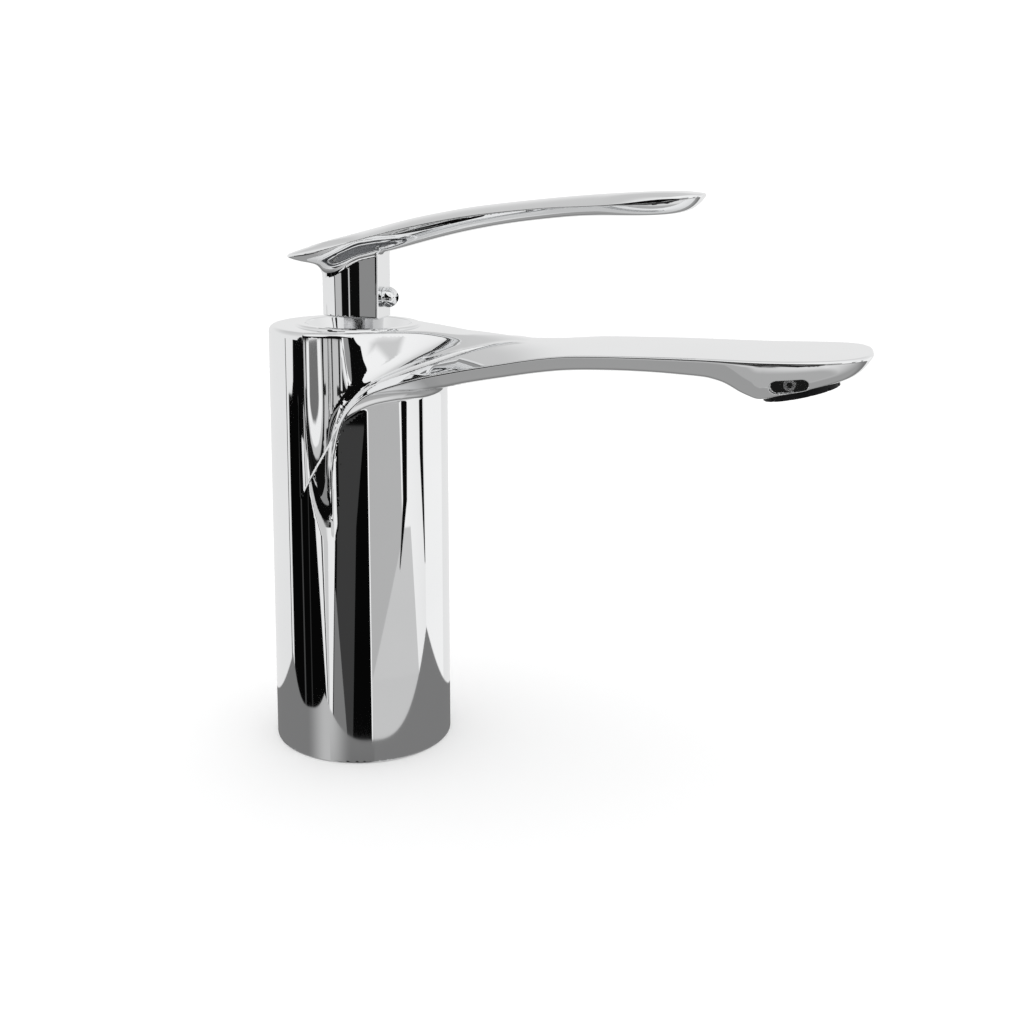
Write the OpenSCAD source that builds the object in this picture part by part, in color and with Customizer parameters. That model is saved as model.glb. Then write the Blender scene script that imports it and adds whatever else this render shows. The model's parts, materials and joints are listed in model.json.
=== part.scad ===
// Single-lever bathroom basin mixer with a 25 mm ceramic-disc cartridge.
// Millimetres. Origin at the centre of the base, +Z up, spout along +X.

/* [Column] */
// Radius of the column at its base
base_r = 25; // [24.5:0.1:25.5]
// Radius of the column at its top
top_r = 23.7; // [23.5:0.1:24]
// Height of the column's flat top
body_h = 116.2; // [116:0.1:117]
// Radius of the hollow in the underside
base_hollow_r = 20; // [19:0.1:20.2]
// Depth of the hollow in the underside
base_hollow_h = 10; // [8:0.5:12]

/* [Water ways] */
// Tapping radius of the two M10 x 1 inlet sockets
inlet_r = 4.5; // [4.45:0.01:4.55]
// Depth of each inlet socket
inlet_depth = 12; // [10:0.5:14]
// Distance of each inlet from the middle plane
inlet_y = 7; // [6.8:0.1:7.4]
// Tapping radius of the M8 fixing stud's hole
stud_r = 3.4; // [3.35:0.01:3.45]
// Depth of the stud's hole
stud_depth = 14; // [12:0.5:18]

/* [Spout] */
// Distance from the column's axis to the spout's tip
reach = 133.5; // [132:0.5:135]
// Radius of the aerator
aerator_r = 9.5; // [9:0.1:9.8]
// Slope of the outlet's face from level
outlet_tilt = 15; // [12:0.5:18]

/* [Cartridge] */
// Outer radius of the cartridge housing
housing_r = 12.5; // [12.4:0.05:12.6]
// Height of the chamber's floor above the base
chamber_z = 84; // [83:0.5:85]
// Height of the lever's pivot above the base
pivot_z = 111; // [110.5:0.1:111.5]
// Radius of the pivot pin
pin_r = 1.5; // [1.4:0.05:1.6]

/* [Lever] */
// Distance from the pivot's axis to the lever's front tip
lever_front = 90.8; // [88:0.2:93]
// Distance from the pivot's axis to the lever's rear tip
lever_rear = 20; // [19:0.2:21]
// Half-width of the lever's blade
lever_w = 9.6; // [9:0.1:10.5]
// Width of the lever's stem
stem_w = 10.4; // [10.2:0.1:11]
// Height of the stem's lower end above the base
stem_z = 119; // [118.8:0.1:119.5]

/* [Cap] */
// Outer radius of the cap ring
cap_r = 17; // [16.5:0.1:18]
// Radius of the well that the lever's stem tilts into, at its mouth
well_r = 14.1; // [14:0.05:14.15]
// Height of the cap ring above the column's top
cap_h = 1.3; // [1.1:0.1:1.5]

/* [Hidden] */
$fn = 64;

CHROME = [0.86, 0.87, 0.88];
STEEL = [0.62, 0.63, 0.65];
RUBBER = [0.10, 0.10, 0.11];
WHITE = [0.93, 0.93, 0.90];
CERAMIC = [0.97, 0.95, 0.90];
BLACK = [0.06, 0.06, 0.07];
GREY = [0.45, 0.47, 0.50];

// Gap left between solids of one body that only touch
seat = 0.05;
// Gap left between solids that move past each other
play = 0.3;
// Radial clearance of the pivot pin in the spindle
pin_play = 0.05;

// ---- curves -------------------------------------------------------------------------------
// A smooth curve through keys [x, y]: cubic pieces whose slopes come from the neighbours.
function slope(k, i) = let(a = max(i - 1, 0), b = min(i + 1, len(k) - 1))
    (k[b][1] - k[a][1]) / (k[b][0] - k[a][0]);
function piece(k, x, i = 0) = i >= len(k) - 2 || x < k[i + 1][0] ? i : piece(k, x, i + 1);
function curve(k, x) = let(
    i = piece(k, x),
    d = k[i + 1][0] - k[i][0],
    t = min(max((x - k[i][0]) / d, 0), 1))
    (2 * t ^ 3 - 3 * t ^ 2 + 1) * k[i][1] + (t ^ 3 - 2 * t ^ 2 + t) * d * slope(k, i)
    + (3 * t ^ 2 - 2 * t ^ 3) * k[i + 1][1] + (t ^ 3 - t ^ 2) * d * slope(k, i + 1);
// Half-width that closes to a blunt round end over the last stretch of a blade.
function blunt(t, power) = t <= 0 ? 1 : (1 - min(t, 1) ^ power) ^ (1 / power);

// A closed skin over rings of points, each ring with the same number of points.
module skin(rings) {
    n = len(rings[0]);
    last = len(rings) - 1;
    sides = [for (i = [0 : last - 1], j = [0 : n - 1]) let(k = (j + 1) % n)
        each [[i * n + j, i * n + k, (i + 1) * n + k], [i * n + j, (i + 1) * n + k, (i + 1) * n + j]]];
    near_end = [for (j = [n - 1 : -1 : 0]) j];
    far_end = [for (j = [0 : n - 1]) last * n + j];
    polyhedron(points = [for (ring = rings) each ring], faces = concat(sides, [near_end, far_end]));
}

// A flat outline in X and Z, pulled out to both sides of the middle plane.
module side_slab(points, half_width) {
    rotate([90, 0, 0])
        translate([0, 0, -half_width])
            linear_extrude(height = 2 * half_width)
                polygon(points);
}

module ring(outer, inner, low, high) {
    difference() {
        translate([0, 0, low]) cylinder(r = outer, h = high - low);
        translate([0, 0, low - 1]) cylinder(r = inner, h = high - low + 2);
    }
}

// ---- body ---------------------------------------------------------------------------------
// The edge where the spout's wings end: up the column's side, forward, then out along the spout.
outlet_x = 116.6;
outlet_z = 106.75;
ridge_z = 115;
ridge_limit = 6.2;
blunt_start = 108;
blunt_power = 3.1;
boss_start = 107;
nose_start = 126.3;
nose_power = 1.4;
tip_lip = 0.9;
edge_x = 18;
edge_z = 80;
edge_rise = 24.6;
function edge_arc(a) = [edge_x * (1 - cos(a)), edge_z + edge_rise * sin(a)];
edge_keys = [[6, 98.2], [14, 103.7], [25, 106.9], [38, 109.9], [50, 112.5], [62, 114.2],
    [85, 115.1], [108, 115.4], [120, 115.9], [reach, 116.8]];
wing_keys = [[6, 23.7], [14, 23.0], [25, 22.0], [38, 21.0], [50, 20.3], [62, 20.0], [85, 20.0],
    [108, 19.7], [reach, 19.6]];
belly_keys = [[6, 92], [16, 97.5], [23, 100.2], [28, 102.4], [34, 104.1], [43, 105.9], [51, 107.4],
    [59, 108.5], [70, 109.1], [80, 109.2], [88, 108.95], [94, 108.6], [98, 107.9], [100, 106.9],
    [102, 105.8], [104.5, 104.9], [107, 104.2], [outlet_x, outlet_z]];

function edge_height(x) = curve(edge_keys, x);
function wing(x) = curve(wing_keys, x) * blunt((x - blunt_start) / (reach - blunt_start), blunt_power);
function crown(x) = max(0.12, min(ridge_limit, ridge_z - edge_height(x)));
function deck(x, side) = edge_height(x) + crown(x) * (1 - side ^ 2);
function outlet_plane(x) = outlet_z + (x - outlet_x) * tan(outlet_tilt);
function nose(x) = let(t = (x - nose_start) / (reach - nose_start))
    outlet_plane(nose_start) + (edge_height(reach) - tip_lip - outlet_plane(nose_start)) * t ^ nose_power;
function belly(x) = x > nose_start ? nose(x) : x > boss_start ? outlet_plane(x) : curve(belly_keys, x);
// The underside is a shallow bowl that grows squarer towards the outlet's boss.
function belly_power(x) = 3 + 1.5 * min(max((x - 94) / 12, 0), 1);
function underside(x, side) = edge_height(x)
    - (edge_height(x) - belly(x)) * (1 - abs(side) ^ belly_power(x));

top_sides = [for (i = [-4 : 4]) i / 4];
low_sides = [0.92, 0.78, 0.55, 0.28, 0, -0.28, -0.55, -0.78, -0.92];
function spout_ring(x) = let(w = wing(x)) concat(
    [for (s = top_sides) [x, s * w, deck(x, s)]],
    [for (s = low_sides) [x, s * w, underside(x, s)]]);
spout_x = concat([for (x = [6 : 4 : 106]) x], [108, 112, 116, 120, 123.5, nose_start],
    [for (t = [0.3, 0.55, 0.75, 0.9, 0.98]) nose_start + (reach - nose_start) * t]);

// The drop-shaped top: a flat face that narrows to a nose, with flanks that fall to the wings.
drop_end = 44.5;
drop_keys = [[-3, 22.0], [4, 20.6], [11, 14.8], [20, 8.8], [30, 6.4], [38, 3.8], [43, 1.2],
    [drop_end, 0.3]];
foot_keys = [[-3, 21.5], [2, 21.4], [8, 20.4], [18, 16.9], [25, 15.2], [33, 12.4], [40, 7.5],
    [drop_end, 1.4]];
foot_z_keys = [[-3, 84], [2, 93], [8, 101.8], [18, 107], [25, 110], [33, 112.9], [40, 114.3],
    [drop_end, 114.5]];
drop_top_keys = [[-3, body_h], [20, body_h], [32, 115.9], [drop_end, 115.1]];
function drop_half(x) = let(
    h = curve(drop_keys, x),
    f = curve(foot_keys, x),
    top = min(curve(drop_top_keys, x), body_h),
    foot = curve(foot_z_keys, x))
    [[f, foot - 6], [f, foot], [h + (f - h) * 0.45, top - (top - foot) * 0.62], [h, top]];
function drop_ring(x) = let(half = drop_half(x)) concat(
    [for (p = half) [x, -p[0], p[1]]],
    [for (i = [3 : -1 : 0]) [x, half[i][0], half[i][1]]]);
drop_x = concat([-3, 0, 3], [for (x = [6 : 3 : 39]) x], [41.5, 43.3, drop_end]);

rim_r = 1.6;
cheek = 21.6;
groove_z = 58;
module column() {
    rotate_extrude($fn = 96)
        polygon(concat(
            [[0, 0], [base_r, 0]],
            [for (a = [0 : 15 : 90]) [top_r - rim_r * (1 - cos(a)), body_h - rim_r * (1 - sin(a))]],
            [[0, body_h]]));
}

// The column behind the wings' edge is a little slimmer at its sides.
module rear_column() {
    intersection() {
        column();
        rotate([90, 0, 90])
            translate([0, 0, -30])
                linear_extrude(height = 34)
                    polygon([[-26, -1], [26, -1], [26, groove_z], [cheek, body_h + 1],
                        [-cheek, body_h + 1], [-26, groove_z]]);
    }
}

module front_column() {
    intersection() {
        column();
        side_slab(concat([[0, -1], [0, edge_z]], [for (a = [10 : 10 : 80]) edge_arc(a)],
            [[26, 107], [26, -1]]), 30);
    }
}

module body_outside() {
    union() {
        rear_column();
        front_column();
        skin([for (x = spout_x) spout_ring(x)]);
        skin([for (x = drop_x) drop_ring(x)]);
    }
}

port_x = -3;
out_x = 7.5;
port_r = 2.9;
riser_x = 18.4;
riser_z = 79;
stud_x = 9.5;
thread_r = 14.5;
thread_z = 109.5;
channel_w = 8;
channel_wall = 1.6;
gasket_r = 23.3;
gasket_in_r = 21.2;
gasket_h = 2.5;
module water_ways() {
    for (side = [-1, 1])
        translate([port_x, side * inlet_y, base_hollow_h - 1]) {
            cylinder(r = inlet_r, h = inlet_depth + 1);
            cylinder(r = port_r, h = chamber_z - base_hollow_h + 2);
        }
    translate([out_x, 0, riser_z]) cylinder(r = port_r, h = chamber_z - riser_z + 1);
    translate([riser_x, 0, riser_z]) cylinder(r = port_r, h = 104 - riser_z);
    translate([out_x, 0, riser_z]) rotate([0, 90, 0]) cylinder(r = port_r, h = riser_x - out_x);
    for (x = [out_x, riser_x]) translate([x, 0, riser_z]) sphere(r = port_r);
    floor_line = [for (x = [14 : 7 : 112]) [x, underside(x, channel_w / wing(x)) + channel_wall]];
    roof_line = [for (x = [112 : -7 : 28]) [x, deck(x, channel_w / wing(x)) - channel_wall]];
    side_slab(concat(floor_line, roof_line, [[21, 107.5], [14, 104]]), channel_w);
}

module outlet_place() {
    translate([outlet_x, 0, outlet_z]) rotate([0, -outlet_tilt, 0]) children();
}

pocket_depth = 5;
lock_x = 114.2;
lock_z = 109.1;
lock_y = 12;
lock_slot = 9.4;
lock_slot_r = 1.85;
lock_r = 1.5;
module outlet_pocket() {
    outlet_place() translate([0, 0, -6]) cylinder(r = aerator_r + seat, h = 6 + pocket_depth);
    outlet_place() translate([0, 0, pocket_depth - 1]) cylinder(r = 6.5, h = 2.2);
    translate([lock_x, -lock_y, lock_z]) rotate([90, 0, 0]) {
        for (side = [-1, 1])
            translate([side * (lock_slot / 2 - lock_slot_r), 0, 0]) cylinder(r = lock_slot_r, h = 8);
        translate([-lock_slot / 2 + lock_slot_r, -lock_slot_r, 0])
            cube([lock_slot - 2 * lock_slot_r, 2 * lock_slot_r, 8]);
        translate([0, 0, -4]) cylinder(r = lock_r, h = 5);
    }
}

module body() {
    color(CHROME)
        difference() {
            body_outside();
            translate([0, 0, -1]) cylinder(r = base_hollow_r, h = base_hollow_h + 1);
            ring(gasket_r + seat, gasket_in_r, -1, gasket_h);
            translate([stud_x, 0, base_hollow_h - 1]) cylinder(r = stud_r, h = stud_depth + 1);
            translate([0, 0, chamber_z]) cylinder(r = housing_r + 0.2, h = 40);
            translate([0, 0, thread_z]) cylinder(r = thread_r, h = 20);
            water_ways();
            outlet_pocket();
        }
}

module base_gasket() {
    color(RUBBER) ring(gasket_r, gasket_in_r + seat, 0.1, gasket_h - seat);
}

// ---- cap and cartridge --------------------------------------------------------------------
nut_top = 113.2;
housing_top = thread_z;
cap_low = nut_top + 0.2;
cap_edge_r = 0.9;
cap_lip_r = 0.4;
well_low_r = 12.6;
module cap_ring() {
    high = body_h + cap_h;
    skirt_r = thread_r - seat;
    color(CHROME)
        rotate_extrude($fn = 96)
            polygon(concat(
                [[well_low_r, cap_low], [skirt_r, cap_low], [skirt_r, body_h], [cap_r, body_h]],
                [for (a = [0 : 15 : 90])
                    [cap_r - cap_edge_r * (1 - cos(a)), high - cap_edge_r * (1 - sin(a))]],
                [for (a = [90 : -30 : 0])
                    [well_r + cap_lip_r * (1 - cos(a)), high - cap_lip_r * (1 - sin(a))]]));
}

module cartridge_nut() {
    color(CHROME)
        difference() {
            ring(thread_r - seat, 11.2, housing_top, nut_top);
            for (a = [0 : 60 : 300])
                rotate([0, 0, a]) translate([13, 0, housing_top + 1.4]) cylinder(r = 1.1, h = 5);
        }
}

cup_r = 11;
collar_r = 8.9;
collar_z = 107.3;
base_top = 89;
module cartridge_housing() {
    color(WHITE) {
        difference() {
            union() {
                ring(housing_r, cup_r, base_top, collar_z);
                ring(housing_r, collar_r, collar_z, housing_top);
            }
            for (a = [60 : 120 : 300])
                rotate([0, 0, a]) translate([cup_r - 1, -1.5, base_top - 1]) cube([3, 3, 4]);
        }
    }
}

limit_gap = 60;
module temperature_limit_ring() {
    color(GREY)
        difference() {
            ring(11.1, collar_r, housing_top, 112);
            rotate([0, 0, 180 - limit_gap])
                rotate_extrude(angle = 2 * limit_gap)
                    translate([collar_r - 1, 109]) square([2.1, 4]);
        }
}

ports = [[port_x, inlet_y], [port_x, -inlet_y], [out_x, 0]];
seal_h = 0.8;
module at_ports() {
    for (p = ports) translate([p[0], p[1], 0]) children();
}

module cartridge_base() {
    color(WHITE)
        difference() {
            union() {
                translate([0, 0, chamber_z]) cylinder(r = housing_r - 0.4, h = base_top - chamber_z);
                for (a = [60 : 120 : 300])
                    rotate([0, 0, a]) translate([cup_r - 0.6, -1.3, base_top - 1]) cube([1.8, 2.6, 3.6]);
            }
            at_ports() {
                translate([0, 0, chamber_z - 1]) cylinder(r = 1.9, h = 10);
                translate([0, 0, chamber_z - 1]) cylinder(r = 2.9, h = 1 + seal_h);
                translate([0, 0, base_top - seal_h]) cylinder(r = 2.9, h = 2);
            }
            difference() {
                translate([0, 0, 85.8]) cylinder(r = 13, h = 1.6);
                translate([0, 0, 85]) cylinder(r = 10.9, h = 4);
            }
        }
}

module port_seals() {
    color(RUBBER) at_ports() ring(2.85, 1.9, chamber_z, chamber_z + seal_h - seat);
}

module disc_seals() {
    color(RUBBER) at_ports() ring(2.85, 1.9, base_top - seal_h + seat, base_top);
}

module housing_oring() {
    color(RUBBER)
        rotate_extrude() translate([11.8, 86.6]) circle(r = 0.72, $fn = 24);
}

disc_top = 92;
fixed_r = 10.1;
module fixed_disc() {
    color(CERAMIC)
        difference() {
            translate([0, 0, base_top]) cylinder(r = fixed_r, h = disc_top - base_top);
            at_ports() translate([0, 0, base_top - 1]) cylinder(r = 1.9, h = 5);
        }
}

// At rest the moving disc sits back from the middle, where it covers both inlet ports.
disc_x = -2.5;
disc_gap = 0.05;
driver_z = 94.5;
moving_r = 7.6;
module moving_disc() {
    color(CERAMIC)
        difference() {
            translate([disc_x, 0, disc_top + disc_gap])
                cylinder(r = moving_r, h = driver_z - disc_top - disc_gap);
            translate([disc_x + 3.4, 0, disc_top - 1]) cylinder(r = 2.2, h = 2.4);
        }
}

foot_z = 98;
foot_r = 2.5;
driver_top = 99;
driver_flat = 6.2;
slot_floor = 95.2;
arm_w = 6;
module disc_driver() {
    slot_x = 2 * (foot_r + play);
    slot_y = arm_w + 2 * play;
    color(WHITE)
        difference() {
            intersection() {
                translate([disc_x, 0, driver_z]) cylinder(r = moving_r - 0.2, h = driver_top - driver_z);
                translate([-20, -driver_flat, driver_z]) cube([40, 2 * driver_flat, 10]);
            }
            translate([-slot_x / 2, -slot_y / 2, slot_floor]) cube([slot_x, slot_y, 10]);
        }
}

carrier_low = 99.4;
carrier_r = 10.6;
neck_r = 8.55;
carrier_top = 114;
carrier_shoulder = 106.6;
cheek_low = 95.6;
lug_half = 8;
module swivel_carrier() {
    color(GREY)
        difference() {
            union() {
                translate([0, 0, carrier_low]) cylinder(r = carrier_r, h = carrier_shoulder - carrier_low);
                translate([0, 0, carrier_low]) cylinder(r = neck_r, h = carrier_top - carrier_low);
                intersection() {
                    translate([0, 0, cheek_low]) cylinder(r = carrier_r, h = 6);
                    for (side = [-1, 1])
                        translate([-20, side * 10.5 - 4, 90]) cube([40, 8, 20]);
                }
                rotate([0, 0, 180 - lug_half])
                    rotate_extrude(angle = 2 * lug_half)
                        translate([neck_r - 1, 109.8]) square([2.2, 1.9]);
            }
            side_slab([[-3.5, 90], [9.2, 90], [9.2, carrier_low + 1], [4.2, pivot_z - 2], [4.2, 120],
                [-7.7, 120], [-3.6, pivot_z]], arm_w / 2 + play);
            translate([0, 10, pivot_z]) rotate([90, 0, 0]) cylinder(r = pin_r, h = 20);
        }
}

module carrier_washer() {
    color(WHITE) ring(carrier_r, collar_r, carrier_shoulder, collar_z - play);
}

module pivot_pin() {
    color(STEEL)
        translate([0, 7.5, pivot_z]) rotate([90, 0, 0]) cylinder(r = pin_r, h = 15);
}

// ---- lever --------------------------------------------------------------------------------
spindle_top = 132;
module spindle() {
    color(STEEL)
        difference() {
            union() {
                translate([-3, -arm_w / 2, 105]) cube([6, arm_w, spindle_top - 105]);
                translate([-1.6, -arm_w / 2, foot_z]) cube([3.2, arm_w, 8]);
                translate([0, arm_w / 2, foot_z]) rotate([90, 0, 0]) cylinder(r = foot_r, h = arm_w);
            }
            translate([0, 10, pivot_z]) rotate([90, 0, 0]) cylinder(r = pin_r + pin_play, h = 20);
        }
}

sleeve = 3.8;
screw_z = 124.4;
screw_r = 2.5;
module spindle_adaptor() {
    color(WHITE)
        difference() {
            translate([-sleeve, -sleeve, stem_z + 1])
                cube([2 * sleeve, 2 * sleeve, spindle_top - stem_z - 1]);
            translate([-3, -arm_w / 2, stem_z]) cube([6, arm_w, 20]);
            translate([0, 0, screw_z]) rotate([0, 90, 0]) cylinder(r = screw_r, h = 10);
        }
}

lever_edge_keys = [[-lever_rear, 134.2], [-10, 135.8], [0, 138.6], [12.5, 142.0], [28.6, 145.5],
    [41, 147.4], [54, 148.8], [65, 149.5], [76, 150.3], [84, 151.5], [lever_front, 152.6]];
lever_top_keys = [[-lever_rear, 134.6], [-10.5, 137.6], [-3.7, 139.7], [5.3, 142.2], [16, 145.1],
    [25, 147.0], [32, 148.3], [48, 150.4], [63, 152.0], [76, 152.9], [85, 153.3], [lever_front, 152.9]];
lever_low_keys = [[-lever_rear, 133.9], [-15, 133.2], [-9, 132.6], [0, 134.2], [11, 136.8], [20, 139.4],
    [30, 142.0], [41, 144.2], [50, 145.5], [60, 146.6], [72, 147.2], [79, 147.6], [86, 149.0],
    [lever_front, 151.9]];
lever_bow_keys = [[-lever_rear, 0.86], [0, 0.93], [20, 0.92], [45, 0.94], [72, 1.06],
    [lever_front, 1.08]];
lever_front_round = 68;
lever_rear_round = 4;
thinnest_half = 0.6;
function lever_half(x) = lever_w * curve(lever_bow_keys, x)
    * blunt((x - lever_front_round) / (lever_front - lever_front_round), 2.6)
    * blunt((lever_rear_round - x) / (lever_rear + lever_rear_round), 2.2);
function lever_ring(x) = let(
    w = max(lever_half(x), thinnest_half),
    e = curve(lever_edge_keys, x),
    t = curve(lever_top_keys, x),
    b = curve(lever_low_keys, x)) concat(
    [for (s = top_sides) [x, s * w, e + (t - e) * (1 - s ^ 2)]],
    [for (s = low_sides) [x, s * w, e - (e - b) * (1 - abs(s) ^ 3)]]);
lever_x = concat([-lever_rear, -19.4, -18, -15.5, -12.5], [for (x = [-9 : 5 : 66]) x],
    [70, 74, 78, 81.5, 84.5, 87, 89, 90.2, lever_front]);

stem_front = 7.4;
stem_back = -9.9;
stem_bend = -1.8;
module stem() {
    outline = concat(
        [for (a = [90 : 10 : 270]) [stem_bend + (stem_bend - stem_back) * cos(a), stem_w / 2 * sin(a)]],
        [[stem_front - 0.6, -stem_w / 2], [stem_front, -stem_w / 2 + 0.6], [stem_front, stem_w / 2 - 0.6],
            [stem_front - 0.6, stem_w / 2]]);
    intersection() {
        translate([0, 0, stem_z]) linear_extrude(height = 30) polygon(outline);
        side_slab([[-12, 110], [10, 110], [10, curve(lever_edge_keys, 10)],
            [-12, curve(lever_edge_keys, -12)]], 12);
    }
}

module lever() {
    color(CHROME)
        difference() {
            union() {
                skin([for (x = lever_x) lever_ring(x)]);
                stem();
            }
            translate([-sleeve, -sleeve, stem_z - 1])
                cube([2 * sleeve, 2 * sleeve, spindle_top - stem_z + 1.3]);
            translate([0, 0, screw_z]) rotate([0, 90, 0]) cylinder(r = screw_r, h = 20);
        }
}

module set_screw() {
    color(STEEL)
        translate([3, 0, screw_z]) rotate([0, 90, 0])
            difference() {
                cylinder(r = screw_r - seat, h = 3.4);
                translate([0, 0, 1.6]) cylinder(r = 1.25, h = 3, $fn = 6);
            }
}

plug_r = 2.75;
plug_x = 8.5;
module index_plug() {
    color(CHROME)
        difference() {
            union() {
                translate([6.5, 0, screw_z]) rotate([0, 90, 0]) cylinder(r = 2.2, h = 2);
                intersection() {
                    translate([plug_x, 0, screw_z]) sphere(r = plug_r, $fn = 48);
                    translate([stem_front, -5, screw_z - 5]) cube([10, 10, 10]);
                }
            }
            translate([plug_x + 1, 0, screw_z]) rotate([0, 90, 0]) cylinder(r = 1.15, h = 4, $fn = 6);
        }
}

// ---- aerator ------------------------------------------------------------------------------
aerator_out = 1.3;
aerator_in = 4;
insert_r = 7.7;
insert_h = 3.5;
module aerator_housing() {
    color(BLACK)
        outlet_place()
            difference() {
                ring(aerator_r, insert_r + seat, -aerator_out, aerator_in);
                for (a = [0 : 30 : 330])
                    rotate([0, 0, a + 15])
                        translate([aerator_r + 0.5, 0, -aerator_out - 1])
                            cylinder(r = 0.75, h = 1.8);
            }
}

module aerator_insert() {
    color(GREY)
        outlet_place()
            difference() {
                translate([0, 0, -aerator_out + 0.6]) cylinder(r = insert_r, h = insert_h);
                for (n = [0 : 2], i = [0 : max(6 * n, 1) - 1])
                    rotate([0, 0, n == 0 ? 0 : i * 60 / n])
                        translate([2.4 * n, 0, -5]) cylinder(r = 0.85, h = 12);
            }
}

module aerator_mesh() {
    color(STEEL)
        outlet_place()
            difference() {
                translate([0, 0, 2.9]) cylinder(r = insert_r, h = 0.5);
                for (i = [-3 : 3], j = [-3 : 3])
                    if (norm([i, j]) < 3.3)
                        translate([i * 2 - 0.6, j * 2 - 0.6, 2]) cube([1.2, 1.2, 3]);
            }
}

module aerator_washer() {
    color(RUBBER) outlet_place() ring(9.2, 6.6, aerator_in + seat, pocket_depth - seat);
}

module aerator_lock_screw() {
    color(STEEL)
        translate([lock_x, -lock_y + 2.3, lock_z]) rotate([90, 0, 0])
            difference() {
                cylinder(r = lock_r - seat, h = 3.1);
                translate([0, 0, 1.9]) cylinder(r = 0.8, h = 3, $fn = 6);
            }
}

// ---- what is drawn ------------------------------------------------------------------------
body();
cap_ring();
cartridge_nut();
cartridge_housing();
temperature_limit_ring();
cartridge_base();
port_seals();
disc_seals();
housing_oring();
fixed_disc();
moving_disc();
disc_driver();
swivel_carrier();
carrier_washer();
pivot_pin();
spindle();
spindle_adaptor();
lever();
set_screw();
index_plug();
aerator_housing();
aerator_insert();
aerator_mesh();
aerator_washer();
aerator_lock_screw();
base_gasket();
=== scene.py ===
"""Looks of the single-lever basin mixer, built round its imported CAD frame.

Blender objects are in metres. The shape functions work in millimetres, in the same frame:
origin at the centre of the base, +Z up, spout along +X.
"""
import json
import math

import bpy
import numpy as np
from mathutils import Matrix, Vector


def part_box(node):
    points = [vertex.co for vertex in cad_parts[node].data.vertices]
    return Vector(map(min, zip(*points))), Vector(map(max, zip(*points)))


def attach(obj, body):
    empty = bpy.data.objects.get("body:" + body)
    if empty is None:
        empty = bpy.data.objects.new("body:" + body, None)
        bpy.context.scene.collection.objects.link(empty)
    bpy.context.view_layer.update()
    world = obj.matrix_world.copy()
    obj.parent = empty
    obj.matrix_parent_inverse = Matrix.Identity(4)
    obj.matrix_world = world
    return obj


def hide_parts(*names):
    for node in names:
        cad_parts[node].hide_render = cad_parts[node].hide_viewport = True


MM = 0.001
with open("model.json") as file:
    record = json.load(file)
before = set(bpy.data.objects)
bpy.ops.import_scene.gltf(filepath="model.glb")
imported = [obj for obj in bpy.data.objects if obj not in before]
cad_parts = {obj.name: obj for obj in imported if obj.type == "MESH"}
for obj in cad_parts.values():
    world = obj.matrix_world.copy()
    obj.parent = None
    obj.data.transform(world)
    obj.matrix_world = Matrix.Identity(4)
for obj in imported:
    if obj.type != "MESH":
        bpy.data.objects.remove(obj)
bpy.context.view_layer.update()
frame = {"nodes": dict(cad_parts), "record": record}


# ---- sizes, from the frame ------------------------------------------------------------------
def node_box(name):
    """The node's lowest and highest corners, in millimetres."""
    low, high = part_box(name)
    return [v / MM for v in low], [v / MM for v in high]


body_low, body_high = node_box("body")
lever_low, lever_high = node_box("lever")
BASE_R = body_high[1]
BODY_H = round(body_high[2], 1)
REACH = round(body_high[0], 1)
TOP_R = BASE_R - 1.3
LEVER_FRONT = lever_high[0]
LEVER_REAR = -lever_low[0]
LEVER_W = 9.6


# ---- fair curves and soft joins of solids ---------------------------------------------------
def cubic_weights(f):
    """Weights of four samples in a row for a place a share f past the second."""
    return ((-f ** 3 + 2 * f ** 2 - f) / 2, (3 * f ** 3 - 5 * f ** 2 + 2) / 2,
            (-3 * f ** 3 + 4 * f ** 2 + f) / 2, (f ** 3 - f ** 2) / 2)


class Fair:
    """A fair curve near its keys: cubic pieces through them, then smoothed over a few millimetres."""

    def __init__(self, keys, blur=2.5, pitch=0.5, ends=25):
        k = np.array(keys, float)
        ahead, behind = np.roll(k, -1, 0), np.roll(k, 1, 0)
        ahead[-1], behind[0] = k[-1], k[0]
        slope = (ahead[:, 1] - behind[:, 1]) / (ahead[:, 0] - behind[:, 0])
        x = np.arange(k[0, 0] - ends, k[-1, 0] + ends, pitch)
        i = np.clip(np.searchsorted(k[:, 0], x, side="right") - 1, 0, len(k) - 2)
        d = k[i + 1, 0] - k[i, 0]
        t = np.clip((x - k[i, 0]) / d, 0, 1)
        y = ((2 * t ** 3 - 3 * t ** 2 + 1) * k[i, 1] + (t ** 3 - 2 * t ** 2 + t) * d * slope[i]
             + (3 * t ** 2 - 2 * t ** 3) * k[i + 1, 1] + (t ** 3 - t ** 2) * d * slope[i + 1])
        y += np.minimum(x - k[0, 0], 0) * slope[0] + np.maximum(x - k[-1, 0], 0) * slope[-1]
        spread_x = np.arange(-4 * blur, 4 * blur + pitch / 2, pitch)
        kernel = np.exp(-0.5 * (spread_x / blur) ** 2)
        reach = len(kernel) // 2
        padded = np.pad(y, reach, mode="reflect", reflect_type="odd")
        self.y = np.convolve(padded, kernel / kernel.sum(), mode="valid")
        self.start, self.pitch = x[0], pitch

    def __call__(self, x):
        u = np.clip((x - self.start) / self.pitch, 1, len(self.y) - 3.001)
        i = u.astype(int)
        return sum(w * self.y[i + n] for n, w in zip((-1, 0, 1, 2), cubic_weights(u - i)))

    def slope(self, x):
        return (self(x + 0.1) - self(x - 0.1)) / 0.2


def smooth(t):
    """0 below 0, 1 above 1 and an even rise between."""
    t = np.clip(t, 0, 1)
    return t * t * (3 - 2 * t)


def blend_union(a, b, k):
    """The union of two solids with a soft hollow fillet about k wide."""
    h = np.clip(k - np.abs(a - b), 0, None)
    return np.minimum(a, b) - h * h / (4 * np.maximum(k, 1e-6))


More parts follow.
